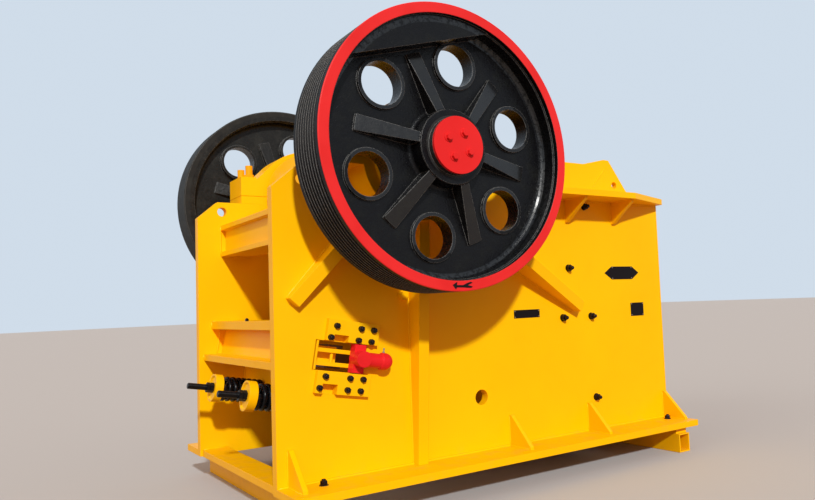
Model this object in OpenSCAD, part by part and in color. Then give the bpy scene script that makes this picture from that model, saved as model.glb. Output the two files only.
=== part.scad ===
// Single-toggle jaw crusher on transport skids.
// Origin: middle of the footprint on the ground. +X is the feed and front wall, -X the toggle end,
// -Y the grooved pulley and +Z up.

/* [Frame] */
// Length of each side plate
plate_len = 4295; // [3900:5:4700]
// Thickness of each side plate
plate_t = 90; // [60:1:110]
// Width over the outer faces of the side plates
frame_w = 2190; // [2000:5:2400]
// Height of the shaft axis above the underside of the side plates
shaft_rise = 2555; // [2450:5:2700]
// Distance from the rear edge of the side plates to the shaft axis
shaft_setback = 1125; // [1080:5:1180]
// How far the top edge of the side plates lies below the shaft axis
plate_top_drop = 80; // [60:1:120]
// Height of the sloping rear top corner
corner_drop = 166; // [100:1:200]
// Length of the sloping rear top corner
corner_run = 190; // [120:1:230]
// Radius of the lifting holes at the rear top corners
rear_lift_r = 45; // [30:1:55]
// Rear lifting hole, distance in from the rear edge
rear_lift_in = 234; // [220:1:250]
// Rear lifting hole, distance below the shaft axis
rear_lift_drop = 175; // [170:1:190]
// Radius of the round holes beside the tension rod pins
pin_hole_r = 67; // [50:1:80]

// Radius of the small round boss below each wheel
boss_r = 35; // [25:1:45]
// Height of the small round boss
boss_h = 60; // [30:1:80]
// Distance of the small round boss below the shaft axis
boss_drop = 1106; // [1040:1:1150]

/* [Base] */
// Height of the skid tubes
skid_h = 185; // [150:1:220]
// Width of the skid tubes
skid_w = 155; // [120:1:180]
// Wall of the skid tubes
skid_wall = 12; // [8:1:18]
// How far the ends of the skid tubes lie inside the edges of the base flanges
skid_end_in = 31; // [0:1:60]
// Front skid tube, distance of its front face behind the front edge of the side plates
skid_front_in = 97; // [60:1:140]
// Rear skid tube, distance of its rear face ahead of the rear edge of the side plates
skid_rear_in = 205; // [150:1:240]
// Height of the pads between the tubes and the frame
pad_h = 60; // [40:1:80]
// Length of each pad across the frame
pad_len = 330; // [250:1:340]
// Thickness of the base flanges
flange_t = 60; // [40:1:70]
// Width of the base flanges outside the side plates
flange_w = 389; // [360:1:400]
// How far the base flanges reach past the front edge of the side plates
flange_reach = 20; // [10:1:40]
// Height of the flange gussets
gusset_h = 275; // [200:1:320]
// Foot of the flange gussets
gusset_w = 290; // [200:1:340]
// Thickness of all gussets
gusset_t = 40; // [25:1:50]
// Radius of the anchor holes
anchor_r = 22; // [15:0.5:28]
// Anchor holes, distance out from the side plate
anchor_out = 120; // [100:1:180]
// Rear anchor holes, distance in from the rear edge of the side plates
anchor_rear_in = 310; // [280:1:330]
// Front anchor holes, distance in from the front edge of the side plates
anchor_front_in = 140; // [130:1:200]
// Width of the tie plate across the rear
tie_w = 230; // [180:1:260]
// Setback of the tie plate from the rear edge
tie_in = 20; // [10:1:40]

/* [Feed end] */
// Underside of the hopper flanges below the shaft axis
hopper_drop = 205; // [190:1:230]
// Width of the hopper flanges
hopper_w = 338; // [300:1:360]
// Width left at the front end of the hopper flanges
hopper_tip_w = 89; // [60:1:120]
// Length of the hopper flanges
hopper_len = 1960; // [1800:5:2000]
// Length of the slanting corner of the hopper flanges
hopper_corner = 680; // [500:5:750]
// Height of the hopper gussets
hopper_gusset_h = 228; // [180:1:260]
// Reach of the hopper gussets
hopper_gusset_w = 300; // [220:1:320]
// Height of the rear panel of the upper cheek plates
cheek_h = 322; // [280:1:360]
// Height of the lifting corner of the upper cheek plates
cheek_peak_h = 390; // [370:1:430]
// Thickness of the upper cheek plates
cheek_t = 60; // [40:1:80]
// Length of the upper cheek plates at their foot
cheek_len = 1515; // [1450:5:1560]
// Radius of the lifting holes in the upper cheek plates
cheek_lift_r = 35; // [25:1:40]

/* [Crushing chamber] */
// Length of the fixed jaw plate
fixed_jaw_len = 2200; // [2100:5:2240]
// Length of the moving jaw plate
moving_jaw_len = 2312; // [2250:2:2360]
// Thickness of both jaw plates over the teeth
jaw_t = 150; // [120:1:170]
// Gap between each jaw plate and the side liners
jaw_gap = 15; // [10:1:40]
// Depth of the teeth
tooth_depth = 55; // [30:1:60]
// Number of teeth on each jaw plate
tooth_count = 16; // [12:1:18]
// Lean of the moving jaw plate
jaw_lean = 21.6; // [21:0.1:22]
// Thickness of the side liners
liner_t = 50; // [35:1:55]
// Thickness of the front wall behind the fixed jaw plate
wall_t = 120; // [90:1:150]
// Depth of the ribs on the front wall
wall_rib_d = 480; // [400:5:520]
// Thickness of the ribs on the front wall
wall_rib_t = 50; // [35:1:60]

/* [Rotor] */
// Outer radius of both wheels
wheel_r = 1100; // [1050:5:1150]
// Distance of each wheel's outer face from the side plate
wheel_out = 838; // [825:1:860]
// Depth of the hub faces below the rim face
hub_in = 30; // [25:1:45]
// Height of the boss on each hub face, under the cap
cap_boss_h = 50; // [40:1:60]
// Radius inside the rim of the grooved pulley
pulley_rim_in = 1019; // [1000:1:1025]
// Width of the rim of the grooved pulley
pulley_rim_w = 440; // [420:1:460]
// Depth of the pulley's web below the rim face
pulley_web_in = 178; // [165:1:190]
// Turn of the pulley's spokes
pulley_turn = 19.6; // [0:0.1:59]
// Number of belt grooves
groove_count = 8; // [5:1:9]
// Distance between the belt grooves
groove_pitch = 44; // [40:1:46]
// Depth of the belt grooves
groove_d = 32; // [20:1:36]
// Radius inside the rim of the flywheel
flywheel_rim_in = 993; // [970:1:1010]
// Width of the rim of the flywheel
flywheel_rim_w = 300; // [280:1:330]
// Depth of the flywheel's web below the rim face
flywheel_web_in = 105; // [95:1:120]
// Turn of the flywheel's spokes
flywheel_turn = 15.3; // [0:0.1:59]
// Thickness of both webs
web_t = 66; // [45:1:75]
// Radius of the round holes in the webs
web_hole_r = 165; // [140:1:175]
// Radius of the raised collars round the holes
collar_r = 193; // [180:1:205]
// Circle on which the holes lie
web_hole_pcr = 694; // [670:1:710]
// Height of the collars on the outer side
collar_h = 24; // [10:1:30]
// Height of the collars on the inner side
collar_back_h = 50; // [20:1:60]
// Radius of the hubs
hub_r = 291; // [270:1:310]
// Length of the hubs
hub_len = 400; // [380:1:420]
// Outer end of the web ribs
rib_end_r = 765; // [720:1:820]
// Width of the web ribs at their outer end
rib_w_out = 126; // [90:1:140]
// Width of the web ribs at the hub
rib_w_in = 74; // [50:1:90]
// Height of the web ribs at their outer end
rib_tip_h = 20; // [10:1:40]
// Distance of the straight edge of the counterweight from the axis
weight_chord = 800; // [795:1:830]
// Radius of the hub caps and of the bosses under them
cap_r = 220; // [200:1:240]
// Thickness of the hub caps
cap_t = 25; // [15:1:30]
// Circle on which the four screws of a hub cap lie
cap_screw_pcr = 105; // [80:1:150]
// Distance across the flats of the hub cap screws
cap_screw_af = 44; // [24:1:50]
// Height of the heads of the hub cap screws
cap_screw_h = 30; // [15:1:40]
// Radius of the shaft in its bearings
shaft_r = 150; // [130:1:170]
// Radius of the eccentric middle of the shaft
eccentric_r = 190; // [180:1:192]
// Throw of the eccentric
throw_e = 18; // [10:1:20]

/* [Bearings] */
// Radius of the bearing housings
housing_r = 505; // [490:1:520]
// Half length of the housing feet
foot_half = 696; // [680:1:730]
// Height of the housing ears above the side plates
ear_h = 278; // [260:1:300]
// Length of the housing ears
ear_len = 160; // [150:1:180]
// How far the housings stand out past the side plates
housing_out = 290; // [250:1:300]
// Width of the joint line between the two halves of the housings
split_w = 5; // [2:1:8]
// Radius of the hold-down studs
stud_r = 35; // [25:1:40]
// Height of the hold-down studs above the ears
stud_h = 125; // [90:1:150]
// Distance between the two studs of an ear
stud_gap = 262; // [240:1:280]
// Radius of the pitman barrel
barrel_r = 460; // [440:1:480]
// Gap between the pitman and each side plate
pitman_gap = 80; // [65:1:120]

/* [Outer ribs] */
// Width of the upright rib
rib_w = 95; // [70:1:110]
// Depth of the upright rib at its foot
rib_d_low = 83; // [70:1:120]
// Depth of the upright rib and the braces at the bearing housing
rib_d_high = 248; // [200:1:248]
// Width of the braces
brace_w = 100; // [80:1:120]
// Depth of the rear brace at its lower end
rear_brace_d = 80; // [50:1:120]
// Distance of the lower end of the rear brace from the shaft axis
rear_brace_r = 1505; // [1400:5:1520]
// Direction of the rear brace
rear_brace_a = 228.7; // [226:0.1:231]
// Depth of the front brace at its lower end
front_brace_d = 108; // [60:1:140]
// Length of the tapering end of the front brace
front_brace_taper = 850; // [600:5:1200]
// Distance of the lower end of the front brace from the shaft axis, along the brace
front_brace_r = 2284; // [2200:2:2320]
// Direction of the front brace
front_brace_a = -30.3; // [-32:0.1:-29]
// How far the front brace runs below the shaft axis
front_brace_low = 137; // [100:1:160]

/* [Toggle adjustment] */
// Length of the window for the wedges
window_len = 435; // [430:1:460]
// Height of the window for the wedges
window_h = 230; // [200:1:240]
// Tilt of the toggle line
toggle_tilt = 10; // [9:0.1:11]
// Height of the wedges
wedge_h = 150; // [120:1:170]
// Thin end of each wedge
wedge_thin = 70; // [50:1:80]
// Thick end of each wedge
wedge_thick = 150; // [140:1:160]
// How far the ends of the wedges lie inside the outer faces of the side plates
wedge_set = 120; // [80:1:140]
// How far the arms on the sliding wedge lie inside the outer faces of the side plates
arm_set = 30; // [15:1:50]
// Height of the lower arm of the sliding wedge
arm_h = 32; // [20:1:40]
// Width of the stop bar at the rear edge of the window
stop_w = 17; // [10:1:20]
// How far the toggle plate is narrower than the pitman
toggle_less = 350; // [200:2:500]
// Thickness of the toggle plate
toggle_t = 84; // [60:1:90]
// Radius of the rolling ends of the toggle plate
toggle_end_r = 55; // [50:1:60]
// Thickness of the wedge retainers
retainer_t = 48; // [25:1:60]
// Depth of the pockets in the side plates behind the notches of the retainers
pocket_d = 40; // [10:1:50]
// How far the cylinder brackets stand out past the side plates
bracket_out = 55; // [30:1:80]
// Radius of the adjusting cylinders
cyl_r = 58; // [45:1:60]
// Radius of the end caps of the adjusting cylinders
cyl_cap_r = 69; // [61:1:72]
// Distance of the crown of the cap of the adjusting cylinders from the middle of the window
cyl_len = 413; // [380:1:430]
// Distance of the bracket of the adjusting cylinders from the middle of the window
cyl_bracket = 140; // [120:1:160]
// Height of the toggle seats
seat_h = 190; // [170:1:200]

/* [Tension rods] */
// Radius of the tension rods
rod_r = 27; // [18:0.5:29]
// How far the tension rods reach behind the side plates
rod_reach = 245; // [200:1:300]
// Distance of each tension rod from the middle of the frame
rod_side = 468; // [420:1:520]
// Upward tilt of the tension rods towards the rear
rod_tilt = 10.5; // [9:0.1:11.5]
// Radius of the spring caps
cap_disc_r = 123; // [110:1:130]
// Thickness of the spring caps
cap_disc_t = 70; // [55:1:90]
// Depth of the dish in the spring caps
cap_dish = 12; // [4:1:20]
// Free end of the rod behind the spring cap
rod_tail = 219; // [190:1:260]
// Mean radius of the springs
spring_r = 93; // [75:1:95]
// Radius of the spring wire
wire_r = 20; // [12:0.5:22]
// Turns of each spring
spring_turns = 7; // [4:1:8]
// Distance across the flats of the rod nuts
nut_af = 78; // [68:1:95]
// Thickness of each rod nut
nut_h = 29; // [20:1:35]
// Setback of the spring bracket from the rear edge of the side plates
bracket_in = 435; // [425:1:450]

/* [Hidden] */

// Places that follow from the sizes above
fit = 0.3;
run_fit = 0.05;
round_fn = 96;
rear_x = rod_reach - (rod_reach + plate_len + flange_reach) / 2;
front_x = rear_x + plate_len;
base_z = skid_h + pad_h;
flange_top = base_z + flange_t;
shaft_x = rear_x + shaft_setback;
shaft_z = base_z + shaft_rise;
plate_top = shaft_z - plate_top_drop;
hopper_z = shaft_z - hopper_drop;
hopper_top = hopper_z + flange_t;
out_y = -frame_w / 2;
in_y = out_y + plate_t;
step_x = shaft_x + foot_half + 60;
cheek_x = shaft_x + 1250;
cheek_lift = [cheek_x + 1283, shaft_z - 16];
anchor_x = [rear_x + anchor_rear_in, front_x - anchor_front_in];
window_x = shaft_x - 605;
window_z = shaft_z - 1568;
hole_x = shaft_x + 730;
hole_z = shaft_z - 2027;
pin_x = shaft_x + 810;
pin_z = shaft_z - 1817 - (pin_x - rear_x + rod_reach) * tan(rod_tilt);
fixed_face_x = shaft_x + 2330;
wall_x = fixed_face_x + jaw_t;
jaw_foot_x = shaft_x + 2100;
jaw_foot_z = shaft_z - 2250;
jaw_floor = shaft_z - 2440 + 245;
wedge_back = window_len / 2 - 12;
wedge_front = wedge_thin + wedge_thick - wedge_back;
seat_d = 135;
toggle_reach = 960;
pitman_seat = wedge_front + seat_d + toggle_reach + 150;
rod_len = rod_reach + pin_x - rear_x;
cap_s = rod_len / cos(rod_tilt) - rod_tail;
bracket_x = rear_x + bracket_in;
bracket_t = 45;
bracket_s = (pin_x - bracket_x) / cos(rod_tilt);
spring_len = cap_s - cap_disc_t - bracket_s - fit;
wheel_face = wheel_out - out_y;
bracket_w = 94;
retainer_edge = window_h / 2 + 3;
arm_back = -180;
cap_seat = wheel_face - hub_in + cap_boss_h;
weight_angle = 107;
jaw_w = 2 * (-in_y - liner_t - jaw_gap);
pitman_w = 2 * (-in_y - pitman_gap);
toggle_w = pitman_w - toggle_less;
skid_len = frame_w + 2 * (flange_w - skid_end_in);
tooth_pitch = jaw_w / tooth_count;

frame_yellow = [1.0, 0.76, 0.02];
cast_black = [0.09, 0.09, 0.10];
signal_red = [0.86, 0.10, 0.10];
steel_grey = [0.45, 0.45, 0.46];

// A flat shape drawn in X and Z, from y to y + t
module upright(y, t) translate([0, y + t, 0]) rotate([90, 0, 0]) linear_extrude(t) children();

// A flat shape drawn along the toggle line and across it, seated at the middle of the window
module toggle_upright(y, t) upright(y, t) translate([window_x, window_z]) rotate(-toggle_tilt) children();

// The same piece on the far side
module far_side() mirror([0, 1, 0]) children();

// A right-angled gusset: corner on the plate, reach outwards, height along +Z or -Z
module gusset(x, z, reach, height) {
    translate([x - gusset_t / 2, out_y, z]) rotate([90, 0, 90]) linear_extrude(gusset_t)
        polygon([[0, 0], [-reach, 0], [-reach, sign(height) * 22], [-25, height], [0, height]]);
}

module side_plate() color(frame_yellow) difference() {
    union() {
        upright(out_y, plate_t) polygon([
            [rear_x, base_z], [front_x, base_z], [front_x, hopper_top], [step_x + 130, hopper_top],
            [step_x, plate_top], [rear_x + corner_run, plate_top], [rear_x, plate_top - corner_drop]]);
        translate([shaft_x - 43, out_y, shaft_z - boss_drop]) rotate([90, 0, 0])
            cylinder(r = boss_r, h = boss_h, $fn = 48);
    }
    upright(out_y - 1, plate_t + 2) {
        translate([shaft_x, shaft_z]) circle(r = housing_r + fit, $fn = round_fn);
        translate([rear_x + rear_lift_in, shaft_z - rear_lift_drop]) circle(r = rear_lift_r, $fn = 48);
        translate([hole_x, hole_z]) circle(r = pin_hole_r, $fn = 48);
    }
    toggle_upright(out_y - 1, plate_t + 2) square([window_len, window_h], center = true);
    toggle_upright(out_y - 1, pocket_d + 1) retainer_notches();
}

module base_flange() color(frame_yellow) difference() {
    union() {
        translate([rear_x, out_y - flange_w, base_z])
            cube([plate_len + flange_reach, flange_w, flange_t]);
        for (x = [rear_x + 103, shaft_x + 1048, shaft_x + 2021, front_x - 47])
            gusset(x, flange_top, gusset_w, gusset_h);
    }
    anchor_bores(base_z, flange_t);
}

// The anchor holes on both sides, from height z upwards
module anchor_bores(z, h) for (x = anchor_x, side = [-1, 1])
    translate([x, side * (anchor_out - out_y), z - 1]) cylinder(r = anchor_r, h = h + 2, $fn = 48);

module hopper_flange() color(frame_yellow) {
    translate([0, 0, hopper_z]) linear_extrude(flange_t) polygon([
        [front_x - hopper_len, out_y], [front_x - hopper_len, out_y - hopper_w],
        [front_x - hopper_corner, out_y - hopper_w], [front_x, out_y - hopper_tip_w], [front_x, out_y]]);
    for (x = [front_x - hopper_len + 628, front_x - hopper_len + 1271])
        gusset(x, hopper_z, hopper_gusset_w, -hopper_gusset_h);
}

module cheek_plate() color(frame_yellow) difference() {
    upright(out_y, cheek_t) translate([cheek_x, hopper_top]) polygon([
        [0, 0], [150, cheek_h], [cheek_len - 661, cheek_h + 2], [cheek_len - 372, cheek_peak_h],
        [cheek_len - 299, cheek_peak_h - 3], [cheek_len, 0]]);
    upright(out_y - 1, cheek_t + 2) translate(cheek_lift) circle(r = cheek_lift_r, $fn = 48);
}

module side_rib() color(frame_yellow) difference() {
    translate([shaft_x + 19, 0, 0]) rotate([90, 0, 90]) linear_extrude(rib_w) polygon([
        [out_y, flange_top], [out_y - rib_d_low, flange_top],
        [out_y - rib_d_high, shaft_z - 300], [out_y, shaft_z - 300]]);
    housing_space();
}

// Room for the round body of the bearing housing
module housing_space() translate([shaft_x, 0, shaft_z]) rotate([90, 0, 0])
    cylinder(r = housing_r + fit, h = frame_w, $fn = round_fn);

// A box-shaped brace that runs out from the bearing housing and tapers in depth
module brace(angle, low, reach, depth, taper) translate([shaft_x, out_y, shaft_z]) rotate([0, -angle, 0])
    translate([0, 0, -low - brace_w / 2]) linear_extrude(brace_w) polygon([
        [housing_r / 2, 0], [reach, 0], [reach, -depth],
        [reach - taper, -rib_d_high], [housing_r / 2, -rib_d_high]]);

module side_braces() color(frame_yellow) difference() {
    union() {
        brace(rear_brace_a, 0, rear_brace_r, rear_brace_d, rear_brace_r - housing_r);
        brace(front_brace_a, front_brace_low, front_brace_r, front_brace_d, front_brace_taper);
    }
    housing_space();
}

module front_wall() color(frame_yellow) difference() {
    span = -2 * in_y;
    top = hopper_top;
    union() {
        translate([wall_x, in_y, base_z]) cube([wall_t, span, top - base_z]);
        translate([wall_x, in_y, top - flange_t]) cube([front_x - wall_x, span, flange_t]);
        for (i = [0:4]) translate([wall_x, in_y, base_z + i * 470])
            cube([wall_t + wall_rib_d, span, wall_rib_t]);
        for (i = [1:5]) translate([wall_x, in_y + i * span / 6 - wall_rib_t / 2, base_z])
            cube([wall_t + wall_rib_d - 60, wall_rib_t, top - base_z]);
    }
}

// The outline of a toothed jaw plate across its width, teeth towards -X
module jaw_section(shift) {
    half = jaw_w / 2;
    root = tooth_depth;
    points = [for (i = [0:tooth_count - 1]) let (y = -half + i * tooth_pitch)
        each [[root, y], [shift, y + tooth_pitch * 0.34], [shift, y + tooth_pitch * 0.66],
            [root, y + tooth_pitch]]];
    polygon(concat(points, [[jaw_t, half], [jaw_t, -half]]));
}

module fixed_jaw_plate() color(steel_grey)
    translate([fixed_face_x, 0, hopper_z - fixed_jaw_len]) linear_extrude(fixed_jaw_len) jaw_section(0);

module moving_jaw_plate() color(steel_grey)
    translate([jaw_foot_x, 0, jaw_foot_z]) rotate([0, -jaw_lean, 0]) mirror([1, 0, 0])
        linear_extrude(moving_jaw_len) jaw_section(0);

// Back face of the moving jaw plate at height z
function bed_x(z) = jaw_foot_x - jaw_t / cos(jaw_lean) + (jaw_foot_z - z) * tan(jaw_lean);

module chamber_liners() color(steel_grey) {
    mid_z = shaft_z - 1260;
    top_z = hopper_z - 30;
    low_z = jaw_foot_z + 20;
    for (zz = [[low_z, mid_z - 10], [mid_z + 10, top_z]])
        upright(in_y, liner_t) polygon([
            [bed_x(zz[0]), zz[0]], [wall_x, zz[0]], [wall_x, zz[1]], [bed_x(zz[1]), zz[1]]]);
}

module upper_rear_beam() color(frame_yellow) upright(in_y, -2 * in_y)
    translate([rear_x + 220, shaft_z - 625]) polygon([
        [0, 0], [315, 0], [315, 50], [140, 50], [140, 258], [315, 258], [315, 308], [0, 308],
        [0, 262], [45, 250], [45, 58], [0, 46]]);

// Front face of the toggle beam at height z
function face_x(z) = window_x - wedge_back / cos(toggle_tilt) + (z - window_z) * tan(toggle_tilt);

module toggle_beam() color(frame_yellow) upright(in_y, -2 * in_y) {
    z0 = shaft_z - 1640;
    z1 = shaft_z - 1340;
    polygon([
        [rear_x + 123, z1], [rear_x + 123, z1 + 74], [rear_x + 395, z1 + 74], [rear_x + 395, z1],
        [face_x(z1), z1], [face_x(z0), z0], [rear_x + 45, z0], [rear_x + 45, z0 + 60],
        [face_x(z0 + 60) - 100, z0 + 60], [face_x(z1) - 100, z1]]);
}

module rear_tie_plate() color(frame_yellow)
    translate([rear_x + tie_in, in_y, base_z]) cube([tie_w, -2 * in_y, flange_t]);

module spring_bracket() color(frame_yellow) difference() {
    union() {
        translate([bracket_x, in_y, shaft_z - 2058]) cube([bracket_t, -2 * in_y, 330]);
        for (side = [-1, 1]) rod_frame(side) translate([0, 0, bracket_s - bracket_t / 2])
            cylinder(r = spring_r + wire_r, h = bracket_t / 2 + spring_seat(), $fn = 64);
    }
    for (side = [-1, 1]) rod_frame(side) translate([0, 0, bracket_s - 200])
        cylinder(r = rod_r + 15, h = 400, $fn = 48);
}

module bearing_housing() color(frame_yellow) translate([shaft_x, 0, shaft_z]) difference() {
    depth = housing_out + plate_t;
    ear_z = ear_h - plate_top_drop;
    arch = housing_r * 0.707;
    union() {
        upright(out_y - housing_out, depth) {
            circle(r = housing_r, $fn = round_fn);
            polygon([
                [-foot_half, -plate_top_drop], [foot_half, -plate_top_drop], [foot_half, ear_z],
                [foot_half - ear_len, ear_z], [foot_half - ear_len - 6, ear_z - 14], [arch, arch],
                [-arch, arch], [-foot_half + ear_len + 6, ear_z - 14], [-foot_half + ear_len, ear_z],
                [-foot_half, ear_z]]);
        }
        translate([0, out_y - housing_out, 0]) rotate([90, 0, 0]) {
            cylinder(r = 410, h = 35, $fn = round_fn);
            cylinder(r = 235, h = 75, $fn = 64);
        }
    }
    translate([0, in_y + 1, 0]) rotate([90, 0, 0]) cylinder(r = shaft_r + run_fit, h = depth + 200, $fn = 64);
    for (y = [out_y - housing_out - 1, in_y - split_w]) translate([-foot_half - 1, y, -split_w / 2])
        cube([2 * foot_half + 2, split_w + 1, split_w]);
    for (x = [-foot_half - 1, foot_half - split_w]) translate([x, out_y - housing_out - 1, -split_w / 2])
        cube([split_w + 1, depth + 2, split_w]);
}

module housing_studs() color([0.85, 0.50, 0.06])
    for (side = [-1, 1], end = [-1, 1], k = [-1, 1])
        translate([shaft_x + end * (foot_half - 100),
            side * (-out_y + (housing_out - plate_t) / 2 + k * stud_gap / 2),
            shaft_z - plate_top_drop + ear_h]) {
            cylinder(r = stud_r, h = stud_h, $fn = 32);
            cylinder(r = stud_r * 1.5, h = 30, $fn = 6);
        }

module pitman() color(frame_yellow) translate([shaft_x, 0, shaft_z]) {
    bed = [jaw_foot_x - shaft_x, jaw_foot_z - shaft_z] - (jaw_t + fit) * [cos(jaw_lean), sin(jaw_lean)];
    bed_dir = [-sin(jaw_lean), cos(jaw_lean)];
    bed_top = bed + moving_jaw_len * bed_dir;
    toggle_dir = [cos(toggle_tilt), -sin(toggle_tilt)];
    across = [sin(toggle_tilt), cos(toggle_tilt)];
    seat = [window_x - shaft_x, window_z - shaft_z] + pitman_seat * toggle_dir;
    difference() {
        union() {
            upright(-pitman_w / 2, pitman_w) {
                circle(r = barrel_r, $fn = round_fn);
                polygon([
                    barrel_r * [-0.65, -0.76], barrel_r * [0.5, 0.866], bed_top + [-60, 130], bed_top, bed,
                    bed + [-60, -75], [1500, -2380], [1100, -2260], [860, -2120], [830, -1935],
                    seat - 150 * across, seat + 150 * across]);
            }
            for (side = [-1, 1], k = [-1, 1])
                upright(side * rod_side + k * 65.3 - 25, 50) translate([pin_x - shaft_x, pin_z - shaft_z]) {
                    circle(r = 72, $fn = 48);
                    translate([0, -72]) square([240, 144]);
                }
            for (side = [-1, 1])
                translate([pin_x - shaft_x, side * rod_side + 100, pin_z - shaft_z]) rotate([90, 0, 0])
                    cylinder(r = 30, h = 200, $fn = 48);
        }
        translate([0, pitman_w / 2 + 1, 0]) rotate([90, 0, 0])
            cylinder(r = eccentric_r + throw_e + 6, h = pitman_w + 2, $fn = round_fn);
    }
}

module toggle_plate() color(steel_grey) toggle_upright(-toggle_w / 2, toggle_w) {
    first = wedge_front + seat_d + 20;
    last = first + toggle_reach;
    translate([first, -toggle_t / 2]) square([last - first, toggle_t]);
    for (u = [first, last]) translate([u, 0]) circle(r = toggle_end_r, $fn = 64);
}

module toggle_seats() color(steel_grey) {
    first = wedge_front + seat_d + 20;
    last = first + toggle_reach;
    toggle_upright(-toggle_w / 2 - 40, toggle_w + 80) difference() {
        translate([wedge_front, -seat_h / 2]) square([seat_d, seat_h]);
        translate([first, 0]) circle(r = toggle_end_r + fit, $fn = 64);
    }
    toggle_upright(-toggle_w / 2 - 40, toggle_w + 80) difference() {
        translate([last + 20, -seat_h / 2]) square([pitman_seat - last - 20 - fit, seat_h]);
        translate([last, 0]) circle(r = toggle_end_r + fit, $fn = 64);
    }
}

// Two long wedges that slide across each other; drawn along the toggle line and across the frame.
// The rear one ends in a stop bar, and the sliding one in two arms that carry the cylinder's bracket.
module adjusting_wedges() color(frame_yellow)
    translate([window_x, 0, window_z]) rotate([0, toggle_tilt, 0]) {
        reach = -out_y - wedge_set;
        translate([0, 0, -wedge_h / 2]) linear_extrude(wedge_h) polygon([
            [-wedge_back, -reach], [wedge_thin - wedge_back - fit, -reach],
            [wedge_thick - wedge_back - fit, reach], [-wedge_back, reach]]);
        translate([0, 0, -wedge_h / 2]) linear_extrude(wedge_h) polygon([
            [wedge_thin - wedge_back, -reach], [wedge_front, -reach],
            [wedge_front, reach], [wedge_thick - wedge_back, reach]]);
        for (side = [-1, 1]) {
            root = (side < 0 ? wedge_thin : wedge_thick) - wedge_back + 5;
            across(side, reach - 8, -out_y - 5) translate([-wedge_back, 3 - window_h / 2])
                square([stop_w, window_h - 6]);
            for (low = [-wedge_h / 2 - 3, wedge_h / 2 - arm_h - 17]) {
                across(side, reach + fit, -out_y - arm_set) translate([arm_back, low])
                    square([cyl_bracket + bracket_w / 2 - arm_back, arm_h]);
                across(side, reach - 8, -out_y - arm_set - 5) translate([root, low])
                    square([wedge_front - 5 - root, arm_h]);
            }
            translate([-50, side * (-out_y - arm_set - 25), -wedge_h / 2])
                cylinder(r = 13, h = wedge_h - 40, $fn = 32);
        }
    }

// A flat shape drawn along the toggle line and up, from a to b on one side of the frame
module across(side, a, b) translate([0, side > 0 ? b : -a, 0]) rotate([90, 0, 0])
    linear_extrude(b - a) children();

module adjusting_cylinder() color(signal_red) {
    stand = 2 * cyl_cap_r + 12;
    toggle_upright(out_y - bracket_out, bracket_out + arm_set - fit)
        translate([cyl_bracket - bracket_w / 2, 3 - window_h / 2]) square([bracket_w, window_h - 6]);
    toggle_upright(out_y - stand, stand) translate([cyl_bracket, 0]) circle(r = cyl_r + 5, $fn = 64);
    translate([window_x, out_y - cyl_cap_r - 11, window_z]) rotate([0, 90 + toggle_tilt, 0])
        rotate_extrude($fn = 64) polygon(concat(
            [[0, cyl_bracket], [cyl_r, cyl_bracket], [cyl_r, cyl_len - 110], [cyl_cap_r, cyl_len - 100]],
            [for (a = [0:10:90]) [cyl_cap_r * cos(a), cyl_len - cyl_cap_r + cyl_cap_r * sin(a)]]));
}

module wedge_retainers() color(frame_yellow) toggle_upright(out_y - retainer_t, retainer_t) difference() {
    union() {
        translate([-152, retainer_edge]) square([440, 167]);
        translate([-185, -retainer_edge - 170]) square([450, 170]);
    }
    retainer_notches();
}

// The notches in the two retainers, drawn along the toggle line and across it
module retainer_notches() {
    translate([-90, retainer_edge - 1]) square([120, 51]);
    translate([-132, -retainer_edge - 171]) square([123, 76]);
}

// A frame whose +Z runs along a tension rod from its pin to its free end
module rod_frame(side) translate([pin_x, side * rod_side, pin_z]) rotate([0, rod_tilt - 90, 0]) children();

module tension_rod(side) color(cast_black) rod_frame(side) {
    tip = cap_s + rod_tail - rod_r * tan(rod_tilt);
    difference() {
        union() {
            cylinder(r = rod_r, h = tip - 6, $fn = 48);
            translate([0, 0, tip - 6]) cylinder(r1 = rod_r, r2 = rod_r - 6, h = 6, $fn = 48);
            translate([0, 40, 0]) rotate([90, 0, 0]) cylinder(r = 66, h = 80, $fn = 64);
            for (z = [0, nut_h + 5]) translate([0, 0, cap_s - cap_dish + z])
                cylinder(r = nut_af / 2 / cos(30), h = nut_h, $fn = 6);
            translate([0, 0, cap_s]) cylinder(r = nut_af / 2 - 4, h = nut_h, $fn = 48);
        }
        translate([0, 41, 0]) rotate([90, 0, 0]) cylinder(r = 30 + fit, h = 82, $fn = 64);
    }
}

module spring_caps() color(frame_yellow) for (side = [-1, 1]) rod_frame(side)
    translate([0, 0, cap_s - cap_disc_t]) difference() {
        cylinder(r = cap_disc_r, h = cap_disc_t, $fn = 64);
        translate([0, 0, -1]) cylinder(r = rod_r + fit, h = cap_disc_t + 2, $fn = 48);
        translate([0, 0, cap_disc_t - cap_dish])
            cylinder(r1 = cap_disc_r - 26, r2 = cap_disc_r - 15, h = cap_dish + 1, $fn = 64);
    }

// One ring of a wire swept along a coil, as points
function coil_ring(a, z, sides) = [for (i = [0:sides - 1]) let (t = 360 * i / sides)
    [(spring_r + wire_r * cos(t)) * cos(a), (spring_r + wire_r * cos(t)) * sin(a), z + wire_r * sin(t)]];

// Height of the wire's middle after a share s of the turns; the end turns lie closed
function coil_rise(s, turns, len) =
    let (closed = 0.9, flat = 2 * wire_r * closed, free = len - 2 * wire_r - 2 * flat, t = s * turns)
    t < closed ? 2 * wire_r * t
    : t > turns - closed ? len - 2 * wire_r - 2 * wire_r * (turns - t)
    : flat + free * (t - closed) / (turns - 2 * closed);

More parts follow.
